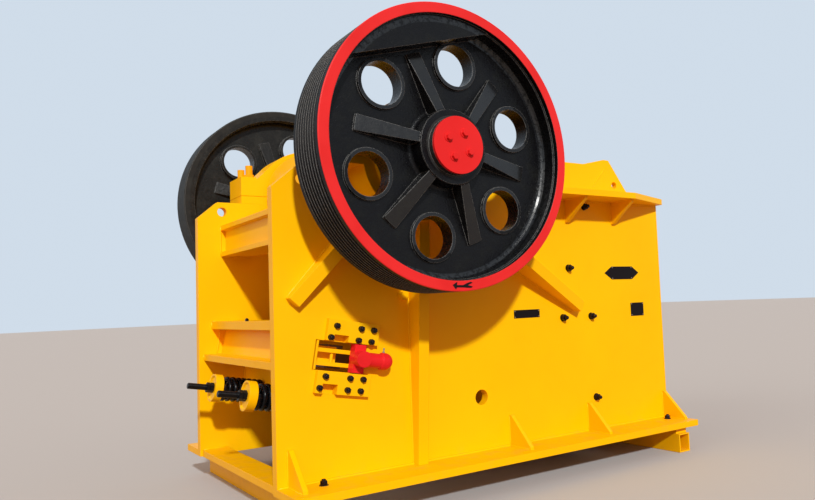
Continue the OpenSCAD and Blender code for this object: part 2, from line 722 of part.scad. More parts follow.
module tension_spring(side) color(cast_black) rod_frame(side)
    translate([0, 0, bracket_s + fit / 2 + spring_seat()]) {
    sides = 8;
    rings = spring_turns * 20;
    len = spring_len - spring_seat();
    points = [for (k = [0:rings]) each coil_ring(360 * spring_turns * k / rings,
        wire_r + coil_rise(k / rings, spring_turns, len), sides)];
    walls = [for (k = [0:rings - 1], i = [0:sides - 1]) let (j = (i + 1) % sides, a = k * sides)
        [a + i, a + sides + i, a + sides + j, a + j]];
    ends = [[for (i = [0:sides - 1]) i], [for (i = [sides - 1:-1:0]) rings * sides + i]];
    polyhedron(points = points, faces = concat(walls, ends));
}

// The bracket is upright and the spring leans, so the seat clears the bracket's face all round
function spring_seat() = (spring_r + wire_r) * tan(rod_tilt);

module skid(x) color(frame_yellow) difference() {
    translate([x, -skid_len / 2, 0]) cube([skid_w, skid_len, skid_h]);
    translate([x + skid_wall, -skid_len / 2 - 1, skid_wall])
        cube([skid_w - 2 * skid_wall, skid_len + 2, skid_h - 2 * skid_wall]);
    anchor_bores(skid_h - skid_wall, skid_wall);
}

module skid_pads() color(frame_yellow) difference() {
    for (x = [rear_x + skid_rear_in, front_x - skid_front_in - skid_w], side = [-1, 1])
        translate([x, side > 0 ? -out_y - 10 : out_y + 10 - pad_len, skid_h])
            cube([skid_w, pad_len, pad_h]);
    anchor_bores(skid_h, pad_h);
}

module eccentric_shaft() color(steel_grey) translate([shaft_x, 0, shaft_z]) {
    translate([0, cap_seat, 0]) rotate([90, 0, 0]) cylinder(r = shaft_r, h = 2 * cap_seat, $fn = 64);
    translate([throw_e, pitman_w / 2 - 60, 0]) rotate([90, 0, 0])
        cylinder(r = eccentric_r, h = pitman_w - 120, $fn = 64);
}

// A frame at the outer face of the near wheel, +Z running in towards the machine
module wheel_frame() translate([shaft_x, -wheel_face, shaft_z]) rotate([-90, 0, 0]) children();

// A hollow quarter round from angle a0 to a1, as points
function hollow(r, z, size, a0, a1) = [for (k = [0:4]) let (a = a0 + (a1 - a0) * k / 4)
    [r + size * cos(a), z + size * sin(a)]];

// The hub and web of a wheel with collars, tapering ribs and counterweight
module wheel_body(rim_in, rim_w, web_in, turn) {
    back = web_in + web_t;
    wall = rim_in - 14;
    difference() {
        union() {
            rotate_extrude($fn = round_fn) polygon(concat(
                [[shaft_r, hub_in - cap_boss_h], [cap_r, hub_in - cap_boss_h], [cap_r, hub_in],
                    [hub_r - 5, hub_in], [hub_r, hub_in + 5]],
                hollow(hub_r + 32, web_in - 32, 32, 180, 90), hollow(wall - 48, web_in - 48, 48, 90, 0),
                [[rim_in + 5, web_in - 48], [rim_in + 5, back + 36]],
                hollow(wall - 36, back + 36, 36, 0, -90), hollow(hub_r + 32, back + 32, 32, -90, -180),
                [[hub_r, hub_in + hub_len], [shaft_r, hub_in + hub_len]]));
            for (i = [0:5]) rotate(-turn - 60 * i) translate([web_hole_pcr, 0, web_in - collar_h])
                cylinder(r = collar_r, h = web_t + collar_h + collar_back_h, $fn = 64);
            intersection() {
                rotate_extrude($fn = round_fn) polygon([
                    [hub_r - 10, hub_in + 10], [rib_end_r, web_in - rib_tip_h],
                    [rib_end_r, back + rib_tip_h], [hub_r - 10, back + 100]]);
                for (i = [0:5]) rotate(-turn - 30 - 60 * i) linear_extrude(rim_w + 100) polygon([
                    [hub_r - 20, -rib_w_in / 2], [rib_end_r + 20, -rib_w_out / 2],
                    [rib_end_r + 20, rib_w_out / 2], [hub_r - 20, rib_w_in / 2]]);
            }
            intersection() {
                translate([0, 0, 35]) cylinder(r = rim_in + 5, h = web_in - 30, $fn = round_fn);
                rotate(-weight_angle) translate([weight_chord, -rim_in, 0])
                    cube([rim_in, 2 * rim_in, web_in]);
            }
        }
        for (i = [0:5]) rotate(-turn - 60 * i) translate([web_hole_pcr, 0, 0])
            cylinder(r = web_hole_r, h = rim_w + 100, $fn = 64);
    }
}

// The inner outline of a rim, from the machine's side outwards: a turned lip, then a cast wall
function rim_inside(rim_in, rim_w) = [
    [rim_in, rim_w], [rim_in, rim_w - 30], [rim_in - 14, rim_w - 34], [rim_in - 14, 48], [rim_in, 44]];

// Outline of the grooved rim: a V for each belt
function groove_points(first, r) = [for (i = [0:groove_count - 1]) let (z = first + i * groove_pitch)
    each [[r, z + 4], [r - groove_d, z + 14],
        [r - groove_d, z + groove_pitch - 14], [r, z + groove_pitch - 4]]];

module drive_pulley() color(cast_black) wheel_frame() {
    first = (pulley_rim_w - groove_count * groove_pitch) / 2;
    rotate_extrude($fn = 128) polygon(concat(
        [[pulley_rim_in, 0], [wheel_r - 4, 0], [wheel_r, 4]],
        groove_points(first, wheel_r),
        [[wheel_r, pulley_rim_w - 4], [wheel_r - 4, pulley_rim_w]],
        rim_inside(pulley_rim_in, pulley_rim_w)));
    wheel_body(pulley_rim_in, pulley_rim_w, pulley_web_in, pulley_turn);
}

module flywheel() color(cast_black) mirror([0, 1, 0]) wheel_frame() {
    rotate_extrude($fn = 128) polygon(concat(
        [[flywheel_rim_in, 0], [wheel_r - 8, 0], [wheel_r, 8],
            [wheel_r, flywheel_rim_w - 8], [wheel_r - 8, flywheel_rim_w]],
        rim_inside(flywheel_rim_in, flywheel_rim_w)));
    wheel_body(flywheel_rim_in, flywheel_rim_w, flywheel_web_in, flywheel_turn);
}

module hub_caps() color(signal_red) for (side = [-1, 1])
    translate([shaft_x, side * cap_seat, shaft_z]) rotate([-side * 90, 0, 0]) {
        cylinder(r = cap_r, h = cap_t, $fn = round_fn);
        for (i = [0:3]) rotate(90 * i + side * 28) translate([cap_screw_pcr, 0, 0])
            cylinder(r = cap_screw_af / 2 / cos(30), h = cap_t + cap_screw_h, $fn = 6);
    }

side_plate();  // near_side_plate
far_side() side_plate();  // far_side_plate
base_flange();  // near_base_flange
far_side() base_flange();  // far_base_flange
hopper_flange();  // near_hopper_flange
far_side() hopper_flange();  // far_hopper_flange
cheek_plate();  // near_cheek_plate
far_side() cheek_plate();  // far_cheek_plate
side_rib();  // near_side_rib
far_side() side_rib();  // far_side_rib
side_braces();  // near_side_braces
far_side() side_braces();  // far_side_braces
front_wall();
fixed_jaw_plate();
chamber_liners();  // near_chamber_liners
far_side() chamber_liners();  // far_chamber_liners
upper_rear_beam();
toggle_beam();
rear_tie_plate();
spring_bracket();
bearing_housing();  // near_bearing_housing
far_side() bearing_housing();  // far_bearing_housing
housing_studs();
pitman();
moving_jaw_plate();
toggle_plate();
toggle_seats();
adjusting_wedges();
adjusting_cylinder();  // near_adjusting_cylinder
far_side() adjusting_cylinder();  // far_adjusting_cylinder
wedge_retainers();  // near_wedge_retainers
far_side() wedge_retainers();  // far_wedge_retainers
tension_rod(-1);  // near_tension_rod
tension_rod(1);  // far_tension_rod
tension_spring(-1);  // near_tension_spring
tension_spring(1);  // far_tension_spring
spring_caps();
skid(front_x - skid_front_in - skid_w);  // front_skid
skid(rear_x + skid_rear_in);  // rear_skid
skid_pads();
eccentric_shaft();
drive_pulley();
flywheel();
hub_caps();
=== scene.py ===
import math
import random

import bmesh
import bpy
from mathutils import Matrix, Vector


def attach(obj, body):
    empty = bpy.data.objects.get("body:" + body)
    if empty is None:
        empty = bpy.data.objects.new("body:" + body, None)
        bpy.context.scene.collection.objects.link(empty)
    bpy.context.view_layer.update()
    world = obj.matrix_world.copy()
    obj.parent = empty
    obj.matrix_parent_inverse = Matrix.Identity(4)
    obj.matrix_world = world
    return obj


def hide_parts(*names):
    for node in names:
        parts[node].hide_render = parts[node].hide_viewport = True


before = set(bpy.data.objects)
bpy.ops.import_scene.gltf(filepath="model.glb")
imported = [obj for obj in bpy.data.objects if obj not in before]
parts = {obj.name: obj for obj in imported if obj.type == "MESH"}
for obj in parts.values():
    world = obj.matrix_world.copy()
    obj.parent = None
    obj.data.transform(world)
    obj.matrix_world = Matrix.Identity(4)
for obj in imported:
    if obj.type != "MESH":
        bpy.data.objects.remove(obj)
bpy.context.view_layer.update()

# Enamelled frame
# The side plates, flanges, beams and housings are thick steel plate and castings,
# welded up and sprayed with two coats of yellow enamel.
FRAME_YELLOW = (0.96, 0.540, 0.0, 1.0)
SHADED_YELLOW = (0.93, 0.480, 0.0, 1.0)
PLATE_DUST = (0.42, 0.30, 0.12, 1.0)
SIDES = ((-1, "near"), (1, "far"))
PAIRED_PARTS = ("side_plate", "base_flange", "hopper_flange", "cheek_plate", "side_rib",
                "side_braces", "bearing_housing", "wedge_retainers")


class Wire:
    """A shader socket that Python arithmetic works on."""

    def __init__(self, tree, socket):
        self.tree = tree
        self.socket = socket

    def math(self, operation, first, second=0.0):
        return self.tree.node("ShaderNodeMath", {"operation": operation}, {0: first, 1: second})

    def __add__(self, other):
        return self.math("ADD", self, other)

    def __sub__(self, other):
        return self.math("SUBTRACT", self, other)

    def __rsub__(self, other):
        return self.math("SUBTRACT", other, self)

    def __mul__(self, other):
        return self.math("MULTIPLY", self, other)

    def __gt__(self, other):
        return self.math("GREATER_THAN", self, other)

    def __lt__(self, other):
        return self.math("LESS_THAN", self, other)

    __radd__ = __add__
    __rmul__ = __mul__

    def root(self):
        return self.math("SQRT", self)

    def rise(self, low, high):
        """0 below low and 1 above high, with a soft step between."""
        return self.tree.node("ShaderNodeMapRange", {"interpolation_type": "SMOOTHSTEP"},
                              {"Value": self, "From Min": low, "From Max": high})


class Tree:
    """The nodes of a material or of the world."""

    def __init__(self, nodes_of):
        self.nodes = nodes_of.nodes
        self.links = nodes_of.links

    def node(self, kind, settings=None, inputs=None, out=0):
        """Any node: its type, its settings, and the values or links of its sockets."""
        made = self.nodes.new(kind)
        for setting, value in (settings or {}).items():
            setattr(made, setting, value)
        for key, value in (inputs or {}).items():
            self.join(self.find(made.inputs, key), value)
        return Wire(self, self.find(made.outputs, out)) if made.outputs else made

    @staticmethod
    def find(sockets, key):
        if isinstance(key, int):
            return sockets[key]
        return next(s for s in sockets if key in (s.identifier, s.name))

    def join(self, socket, value):
        """Links a wire to a socket, or sets the socket to a value."""
        if isinstance(value, Wire):
            self.links.new(value.socket, socket)
        else:
            socket.default_value = value

    def split(self, vector):
        """The three parts of a place or direction."""
        parted = self.node("ShaderNodeSeparateXYZ", inputs={"Vector": vector}).socket.node
        return [Wire(self, parted.outputs[i]) for i in range(3)]

    def blend(self, share, first, second):
        return self.node("ShaderNodeMix", {"data_type": "RGBA"},
                         {"Factor_Float": share, "A_Color": first, "B_Color": second},
                         out="Result_Color")

    def seen(self):
        """1 where the camera looks, straight or in a reflection, and 0 where light bounces."""
        straight, mirrored, through = (
            self.node("ShaderNodeLightPath", out=name)
            for name in ("Is Camera Ray", "Is Glossy Ray", "Is Transmission Ray"))
        return straight.math("MINIMUM", straight + mirrored + through, 1.0)


class Finish(Tree):
    """A material on one Principled shader, with its constant values set on the shader."""

    def __init__(self, name, constants):
        self.material = bpy.data.materials.new(name)
        self.material.use_nodes = True
        super().__init__(self.material.node_tree)
        self.shader = self.nodes["Principled BSDF"]
        for socket, value in constants.items():
            self.shader.inputs[socket].default_value = value

    def feed(self, **wires):
        """Joins wires to the shader's sockets, with _ for each space in a socket's name."""
        for name, wire in wires.items():
            self.join(self.shader.inputs[name.replace("_", " ")], wire)

    def where(self):
        """The place on the object, in metres."""
        return self.node("ShaderNodeTexCoord", out="Object")

    def noise(self, scale, detail, roughness=0.5):
        return self.node("ShaderNodeTexNoise", inputs={
            "Vector": self.where(), "Scale": scale, "Detail": detail, "Roughness": roughness})

    def eased(self, radius):
        """Normals that run round each edge at the given radius."""
        return self.node("ShaderNodeBevel", {"samples": 6}, {"Radius": radius})

    def bump(self, height, depth, edge=0.0):
        """Normals from a height between 0 and 1, over edges rounded to the given radius."""
        inputs = {"Height": height, "Distance": depth}
        if edge:
            inputs["Normal"] = self.eased(edge)
        self.feed(Normal=self.node("ShaderNodeBump", inputs=inputs))

    def edges(self, radius):
        """1 on the edges, where the eased normal leaves the flat one, and 0 on the faces."""
        flat = self.node("ShaderNodeNewGeometry", out="Normal")
        same = self.node("ShaderNodeVectorMath", {"operation": "DOT_PRODUCT"},
                         {0: self.eased(radius), 1: flat}, out="Value")
        return 1.0 - same.rise(0.80, 0.985)


def sprayed(name, colour, shaded, gloss=0.34, edge=0.005, dusty=True):
    """Enamel with a faint mottle and, where it is dusty, dust on ledges and near the ground."""
    paint = Finish(name, {"Coat Weight": 0.03, "Coat Roughness": 0.14,
                          "Specular IOR Level": 0.12})
    broad = paint.noise(0.9, 3.0)
    cloud = paint.noise(7.0, 5.0, 0.6)
    grain = paint.noise(160.0, 3.0)
    base = paint.blend(broad.rise(0.35, 0.7) * 0.5 + cloud.rise(0.45, 0.8) * 0.2, colour, shaded)
    if dusty:
        up = paint.split(paint.node("ShaderNodeNewGeometry", out="Normal"))[2]
        height = paint.split(paint.where())[2]
        settled = up.rise(0.5, 0.9) * cloud.rise(0.45, 0.7) * 0.10
        splashed = (1.0 - height.rise(0.0, 0.5)) * cloud.rise(0.5, 0.75) * 0.16
        base = paint.blend(settled + splashed, base, PLATE_DUST)
    paint.feed(Base_Color=base, Roughness=gloss + cloud * 0.14)
    paint.bump(broad * 0.6 + cloud * 0.3 + grain * 0.05, 0.0014, edge)
    return paint.material


def dress(finish, *nodes):
    """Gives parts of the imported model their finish."""
    for node in nodes:
        parts[node].material_slots[0].material = finish


frame_enamel = sprayed("frame_enamel", FRAME_YELLOW, SHADED_YELLOW)
dress(frame_enamel, *(f"{name}_{part}" for _, name in SIDES for part in PAIRED_PARTS))
dress(frame_enamel, "front_wall", "upper_rear_beam", "toggle_beam", "rear_tie_plate",
      "spring_bracket", "pitman", "adjusting_wedges", "spring_caps", "front_skid", "rear_skid",
      "skid_pads")

# Weld beads
# Hand-laid fillet welds join every flange, rib, brace and gusset to the side plates,
# and were painted over with the frame.
PLATE_Y = 1.095
BEAD_STEP = 0.024
BEAD_END = 0.02
FOOT_BEAD, LONG_BEAD, JOINT_BEAD, HOPPER_BEAD, CHEEK_BEAD = 0.013, 0.010, 0.009, 0.008, 0.006
BACK_X, HOPPER_BACK_X, FRONT_X = -2.03, 0.31, 2.255
FOOT_Z, UNDER_HOPPER_Z = 0.308, 2.592
BASE_GUSSETS, BASE_GUSSET_OUT = (-1.932, 0.138, 1.111, 2.213), 1.38
HOPPER_GUSSETS, HOPPER_GUSSET_OUT = (0.928, 1.571), 1.39
GUSSET_FACES = (-0.021, 0.021)
RIB_EDGES = (-0.892, -0.795)
CHEEK_Y = 1.096
CHEEK_RUN = ((1.508, 2.962), (1.300, 2.74), (1.225, 2.66))
BRACES = (((-1.903, 1.669), (-1.250, 2.413)), ((0.993, 1.529), (-0.530, 2.419)))
BRACE_HALF = 0.053
CROSS_Y = 1.004
CROSS_RUNS = (
    ((-1.815, 2.172), (-1.50, 2.172)), ((-1.815, 2.486), (-1.50, 2.486)),
    ((-1.818, 2.18), (-1.818, 2.48)), ((-1.912, 1.536), (-1.64, 1.536)),
    ((-1.914, 1.46), (-1.914, 1.534)), ((-1.991, 1.16), (-1.991, 1.22)),
    ((-1.87, 1.219), (-1.83, 1.455)), ((-2.01, 0.307), (-1.79, 0.307)),
    ((-1.603, 0.75), (-1.603, 1.07)))
beads = random.Random(7)


def place_at(point, out):
    """A matrix that stands a shape made along +Z at a point, facing out."""
    return Matrix.Translation(point) @ Vector(out).to_track_quat("Z", "Y").to_matrix().to_4x4()


def mesh_object(name, form, material):
    """An object at the origin from a bmesh, which is freed."""
    mesh = bpy.data.meshes.new(name)
    form.to_mesh(mesh)
    form.free()
    mesh.materials.append(material)
    made = bpy.data.objects.new(name, mesh)
    bpy.context.scene.collection.objects.link(made)
    return made


def finished(name, form, material, body, sharp=35):
    """Turns a bmesh into a piece at the origin that rides on its body."""
    piece = mesh_object(name, form, material)
    piece.data.polygons.foreach_set("use_smooth", [True] * len(piece.data.polygons))
    piece.data.set_sharp_from_angle(angle=math.radians(sharp))
    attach(piece, body)
    return piece


def verts_of(geom):
    """The vertices in what an operator gives back."""
    return [v for v in geom if isinstance(v, bmesh.types.BMVert)]


def edges_within(verts):
    """The edges that have both their ends among the vertices."""
    return [e for e in {e for v in verts for e in v.link_edges}
            if all(v in verts for v in e.verts)]


def weld(form, start, end, size):
    """One bead: a ring drawn out along the joint, swelling and thinning as it goes."""
    start, end = Vector(start), Vector(end)
    steps = max(4, round((end - start).length / BEAD_STEP))
    stride = (end - start) / steps
    verts = bmesh.ops.create_circle(form, segments=6, radius=size,
                                    matrix=place_at(start, stride))["verts"]
    edges = edges_within(verts)
    bmesh.ops.scale(form, vec=(BEAD_END,) * 3, verts=verts, space=Matrix.Translation(-start))
    now = BEAD_END
    for i in range(1, steps + 1):
        verts = verts_of(bmesh.ops.extrude_edge_only(form, edges=edges)["geom"])
        edges = edges_within(verts)
        bmesh.ops.translate(form, vec=stride, verts=verts)
        want = BEAD_END if i == steps else beads.uniform(0.82, 1.12)
        bmesh.ops.scale(form, vec=(want / now,) * 3, verts=verts,
                        space=Matrix.Translation(-(start + stride * i)))
        now = want


def side_welds(side):
    """The runs on one side plate, from its foot to its top."""
    y = side * PLATE_Y
    form = bmesh.new()
    weld(form, (BACK_X, y, FOOT_Z), (FRONT_X, y, FOOT_Z), FOOT_BEAD)
    weld(form, (HOPPER_BACK_X, y, UNDER_HOPPER_Z), (FRONT_X, y, UNDER_HOPPER_Z), LONG_BEAD)
    for gusset in BASE_GUSSETS:
        for x in (gusset + face for face in GUSSET_FACES):
            weld(form, (x, y, 0.31), (x, y, 0.576), JOINT_BEAD)
            weld(form, (x, y, 0.307), (x, side * BASE_GUSSET_OUT, 0.307), JOINT_BEAD)
    for gusset in HOPPER_GUSSETS:
        for x in (gusset + face for face in GUSSET_FACES):
            weld(form, (x, y, 2.59), (x, y, 2.37), HOPPER_BEAD)
            weld(form, (x, y, 2.593), (x, side * HOPPER_GUSSET_OUT, 2.593), HOPPER_BEAD)
    for x in RIB_EDGES:
        weld(form, (x, y, 0.31), (x, y, 2.29), LONG_BEAD)
    weld(form, (0.345, y, 2.657), (1.85, y, 2.657), JOINT_BEAD)
    for (x, z), (next_x, next_z) in zip(CHEEK_RUN, CHEEK_RUN[1:]):
        weld(form, (x, side * CHEEK_Y, z), (next_x, side * CHEEK_Y, next_z), CHEEK_BEAD)
    for start, end in BRACES:
        run = Vector((end[0] - start[0], 0, end[1] - start[1]))
        across = run.cross(Vector((0, 1, 0))).normalized() * BRACE_HALF
        foot, head = Vector((start[0], y, start[1])), Vector((end[0], y, end[1]))
        weld(form, foot - across, foot + across, JOINT_BEAD)
        for way in (-1, 1):
            weld(form, foot + across * way, head + across * way, JOINT_BEAD)
    return form


for side, name in SIDES:
    finished(name + "_side_welds", side_welds(side), frame_enamel, "frame",
             sharp=80)

cross_welds = bmesh.new()
for side in (-1, 1):
    y = side * CROSS_Y
    for start, end in CROSS_RUNS:
        weld(cross_welds, (start[0], y, start[1]), (end[0], y, end[1]), JOINT_BEAD)
finished("cross_beam_welds", cross_welds, frame_enamel, "frame", sharp=80)

# Liner bolts
# Big square-shouldered bolts hold the side liners through each plate. Their washers,
# nuts and domed ends are left in the dark primer of the fasteners.
FASTENER_DARK = (0.006, 0.002, 0.003, 1.0)
FASTENER_WORN = (0.030, 0.014, 0.014, 1.0)
LINER_BOLTS = ((0.821, 1.431), (1.197, 1.431), (1.214, 0.625), (0.921, 1.916), (1.171, 2.536))


def primed_bolts():
    """Near-black primer, worn paler in spots."""
    skin = Finish("fastener_primer", {"Specular IOR Level": 0.22})
    wear = skin.noise(60.0, 4.0, 0.6)
    skin.feed(Base_Color=skin.blend(wear.rise(0.5, 0.75), FASTENER_DARK, FASTENER_WORN),
              Roughness=0.14 + wear * 0.2)
    skin.bump(wear, 0.0006)
    return skin.material


fastener_primer = primed_bolts()


def drum(form, stand, low, high, foot, top=None, segments=20):
    """A round or flat-sided block from low to high, which gives back its top vertices."""
    verts = bmesh.ops.create_cone(
        form, cap_ends=True, segments=segments, radius1=foot, radius2=top or foot,
        depth=high - low, matrix=stand @ Matrix.Translation((0, 0, (low + high) / 2)))["verts"]
    return sorted(verts, key=lambda v: (stand.inverted() @ v.co).z)[segments:]


def ease_rim(form, rim, offset, segments):
    """Rounds the edge that runs through the rim's vertices."""
    bmesh.ops.bevel(form, geom=edges_within(rim), offset=offset, offset_type="OFFSET",
                    segments=segments, profile=0.5, affect="EDGES", material=-1)


def nut_and_bolt(form, at, out, across, deep, washer=0.0, tail=0.0, turn=0.0):
    """A washer, a six-sided nut with eased corners, and the bolt's domed end."""
    stand = place_at(at, out) @ Matrix.Rotation(turn, 4, "Z")
    seat = across * 0.11 if washer else 0.0
    if washer:
        drum(form, stand, 0.0, seat, washer, washer * 0.97, segments=28)
    corner = across / 2 / math.cos(math.pi / 6)
    top = seat + deep
    ease_rim(form, drum(form, stand, seat, top, corner, segments=6), across * 0.07, 2)
    if tail:
        stem = across * 0.31
        ease_rim(form, drum(form, stand, top, top + tail, stem), stem * 0.35, 3)


for side, name in SIDES:
    form = bmesh.new()
    for i, (x, z) in enumerate(LINER_BOLTS):
        nut_and_bolt(form, (x, side * PLATE_Y, z), (0, side, 0), across=0.058, deep=0.034,
                     washer=0.036, tail=0.034, turn=i * 0.7)
    finished(name + "_liner_bolts", form, fastener_primer, "frame")

# Anchor bolts
# One bolt stands in each corner of the base flanges and holds the frame down on its
# pads and skid tubes.
ANCHOR_X = (-1.725, 2.120)
ANCHOR_Y = 1.215
FLANGE_TOP = 0.305
SHANK_R, SHANK_LOW, SHANK_HIGH = 0.020, -0.134, 0.001

form = bmesh.new()
for x in ANCHOR_X:
    for side in (-1, 1):
        foot = (x, side * ANCHOR_Y, FLANGE_TOP)
        nut_and_bolt(form, foot, (0, 0, 1), across=0.052, deep=0.030, washer=0.036, tail=0.012,
                     turn=x * side)
        drum(form, Matrix.Translation(foot), SHANK_LOW, SHANK_HIGH, SHANK_R)
finished("anchor_bolts", form, fastener_primer, "frame")

# Plates
# Three dark anodised plates are riveted to the near side plate: a long one, a six-sided
# one and a square one. Their faces are bare.
PLATE_FACE = (0.004, 0.0015, 0.002, 1.0)
RIVET_GREY = (0.30, 0.26, 0.20, 1.0)
PLATE_GAP, PLATE_THICK = 0.0005, 0.003
PLATE_BACK_Y = -PLATE_Y - PLATE_GAP
BORDER, LINE_WIDTH = 0.009, 0.002
RIVET_R = 0.006
SIX_SIDED_OUTLINE = ((1.417, 1.861), (1.520, 1.794), (1.820, 1.794), (1.920, 1.861),
                     (1.820, 1.928), (1.520, 1.928))


def plate_finish(name, colour, metal, rough):
    """A smooth sheet with a fine, paler grain."""
    skin = Finish(name, {"Metallic": metal, "Specular IOR Level": 0.14})
    brushed = skin.noise(90.0, 3.0)
    lighter = tuple(min(1.0, c * 1.9) for c in colour)
    skin.feed(Base_Color=skin.blend(brushed * 0.35, colour, lighter),
              Roughness=rough + brushed * 0.15)
    skin.bump(brushed, 0.0003)
    return skin.material


plate_dark = plate_finish("plate_dark", PLATE_FACE, 0.0, 0.30)
rivet_metal = plate_finish("rivet_metal", RIVET_GREY, 0.7, 0.28)


def four_corners(left, right, low, high):
    """The corners of an upright rectangle, in order round it."""
    return (left, low), (right, low), (right, high), (left, high)


def riveted_plate(name, outline, rivets):
    """A flat plate from its outline, with a thin bright line near its edge and four rivets."""
    form = bmesh.new()
    face = form.faces.new([form.verts.new((x, PLATE_BACK_Y, z)) for x, z in outline])
    bmesh.ops.inset_region(form, faces=[face], thickness=BORDER, depth=0.0)
    line = bmesh.ops.inset_region(form, faces=[face], thickness=LINE_WIDTH, depth=0.0)["faces"]
    for strip in line:
        strip.material_index = 1
    bmesh.ops.recalc_face_normals(form, faces=form.faces[:])
    lifted = bmesh.ops.extrude_face_region(form, geom=form.faces[:])["geom"]
    bmesh.ops.translate(form, vec=(0, -PLATE_THICK, 0), verts=verts_of(lifted))
    for x, z in rivets:
        head = bmesh.ops.create_uvsphere(
            form, u_segments=12, v_segments=6, radius=RIVET_R,
            matrix=Matrix.Translation((x, PLATE_BACK_Y - PLATE_THICK, z)))["verts"]
        for strip in {f for v in head for f in v.link_faces}:
            strip.material_index = 1
    bmesh.ops.recalc_face_normals(form, faces=form.faces[:])
    finished(name, form, plate_dark, "frame").data.materials.append(rivet_metal)


riveted_plate("long_plate", four_corners(0.220, 0.527, 1.451, 1.527),
              four_corners(0.231, 0.516, 1.462, 1.516))
riveted_plate("six_sided_plate", SIX_SIDED_OUTLINE, four_corners(1.53, 1.81, 1.806, 1.916))
riveted_plate("square_plate", four_corners(1.776, 1.969, 1.405, 1.544),
              four_corners(1.788, 1.957, 1.417, 1.532))

# Bearing housings
# Each housing is a yellow casting with a bolted end cover and a labyrinth ring. Two studs
# on each ear pull it down on its side plate.
SHAFT = Vector((-0.910, 0.0, 2.800))
STUD_PAINTED_SHADE = (0.86, 0.40, 0.0, 1.0)
STUD_DEEPER_PAINTED_SHADE = (0.55, 0.20, 0.01, 1.0)
COVER_FACE_Y = 1.420
COVER_BOLTS, COVER_BOLT_CIRCLE, FIRST_BOLT = 12, 0.365, 0.26

# The studs are painted the orange of yellow enamel in shade, a painted shade, mottled with a
# deeper painted shade.
dress(sprayed("stud_painted_shade", STUD_PAINTED_SHADE, STUD_DEEPER_PAINTED_SHADE, gloss=0.34, edge=0.004), "housing_studs")

for side, name in SIDES:
    form = bmesh.new()
    for i in range(COVER_BOLTS):
        angle = FIRST_BOLT + math.tau * i / COVER_BOLTS
        at = (SHAFT.x + COVER_BOLT_CIRCLE * math.cos(angle), side * COVER_FACE_Y,
              SHAFT.z + COVER_BOLT_CIRCLE * math.sin(angle))
        nut_and_bolt(form, at, (0, side, 0), across=0.046, deep=0.026, turn=angle)
    finished(name + "_cover_bolts", form, frame_enamel, "frame")

# Toggle adjustment
# Bolted retainers hold the two wedges, and a red hydraulic cylinder on each side shifts
# them. The line of the toggle slopes by ten degrees.
TOGGLE = Vector((-1.515, 0.0, 1.232))
TILT = math.radians(10)
ALONG = Vector((math.cos(TILT), 0.0, -math.sin(TILT)))
ACROSS = Vector((math.sin(TILT), 0.0, math.cos(TILT)))
RETAINER_FACE_Y = 1.143
RETAINER_ROWS = ((0.236, (-0.084, 0.124, 0.233)), (0.143, (-0.121, 0.112, 0.224)),
                 (-0.156, (-0.121, 0.084, 0.196)), (-0.247, (-0.158, 0.074, 0.185)))
BEAM_BOLT_AT = (-1.888, 0.0, 1.534)
CYLINDER_RED = (0.78, 0.018, 0.022, 1.0)
CYLINDER_SHADE = (0.52, 0.010, 0.014, 1.0)
FITTING_ALONG, FITTING_Y = 0.330, 1.175
FITTING_STEPS = (
    {"low": 0.064, "high": 0.078, "foot": 0.012, "segments": 6},
    {"low": 0.077, "high": 0.099, "foot": 0.006, "segments": 16},
    {"low": 0.097, "high": 0.106, "foot": 0.008, "segments": 16})


def on_toggle(u, v, y):
    """The point u along the line of the toggle, v above it and y out from the middle."""
    return TOGGLE + ALONG * u + ACROSS * v + Vector((0, y, 0))


for side, name in SIDES:
    form = bmesh.new()
    for v, row in RETAINER_ROWS:
        for u in row:
            nut_and_bolt(form, on_toggle(u, v, side * RETAINER_FACE_Y), (0, side, 0),
                         across=0.041, deep=0.026, washer=0.024, tail=0.008, turn=u * 9)
    finished(name + "_retainer_bolts", form, fastener_primer, "frame")

form = bmesh.new()
nut_and_bolt(form, BEAM_BOLT_AT, (0, 0, 1), across=0.026, deep=0.018, washer=0.016, tail=0.006)
finished("toggle_beam_bolt", form, fastener_primer, "frame")

dress(sprayed("cylinder_red", CYLINDER_RED, CYLINDER_SHADE, gloss=0.22, edge=0.004, dusty=False),
      "near_adjusting_cylinder", "far_adjusting_cylinder")

form = bmesh.new()
for side in (-1, 1):
    stand = place_at(on_toggle(FITTING_ALONG, 0.0, side * FITTING_Y), ACROSS)
    for step in FITTING_STEPS:
        drum(form, stand, **step)
finished("cylinder_fittings", form, rivet_metal, "frame")

# Tension rods and springs
# Each rod pulls the pitman back against the toggle through a coil spring, which stands
# between the bracket and a yellow cap. The rods and springs have black gloss paint.
GLOSS_BLACK = (0.003, 0.003, 0.004, 1.0)
SCUFFED_BLACK = (0.012, 0.012, 0.013, 1.0)
ROD_PIN = Vector((-0.100, 0.0, 0.579))
ROD_Y = 0.468
ROD_TILT = math.radians(10.5)
ROD_WAY = Vector((-math.cos(ROD_TILT), 0.0, math.sin(ROD_TILT)))
SPRING_START, SPRING_LEN = 1.5467, 0.3813
COIL_R, WIRE_R, WIRE_SIDES = 0.091, 0.022, 14
TURNS, CLOSED_TURNS, STEPS_A_TURN = 7, 0.9, 24


def black_gloss(name, rough, thread=0.0):
    """Black gloss paint with dull scuffs, and a screw thread's ridges where one is asked for."""
    skin = Finish(name, {"Specular IOR Level": 0.16})
    scuff = skin.noise(45.0, 4.0, 0.6)
    skin.feed(Base_Color=skin.blend(scuff.rise(0.5, 0.75) * 0.6, GLOSS_BLACK, SCUFFED_BLACK),
              Roughness=rough + scuff * 0.18)
    height = scuff * 0.4
    if thread:
        height = height + skin.node("ShaderNodeTexWave", {"bands_direction": "X"},
                                    {"Vector": skin.where(), "Scale": thread, "Distortion": 0.0})
    skin.bump(height, 0.0012)
    return skin.material


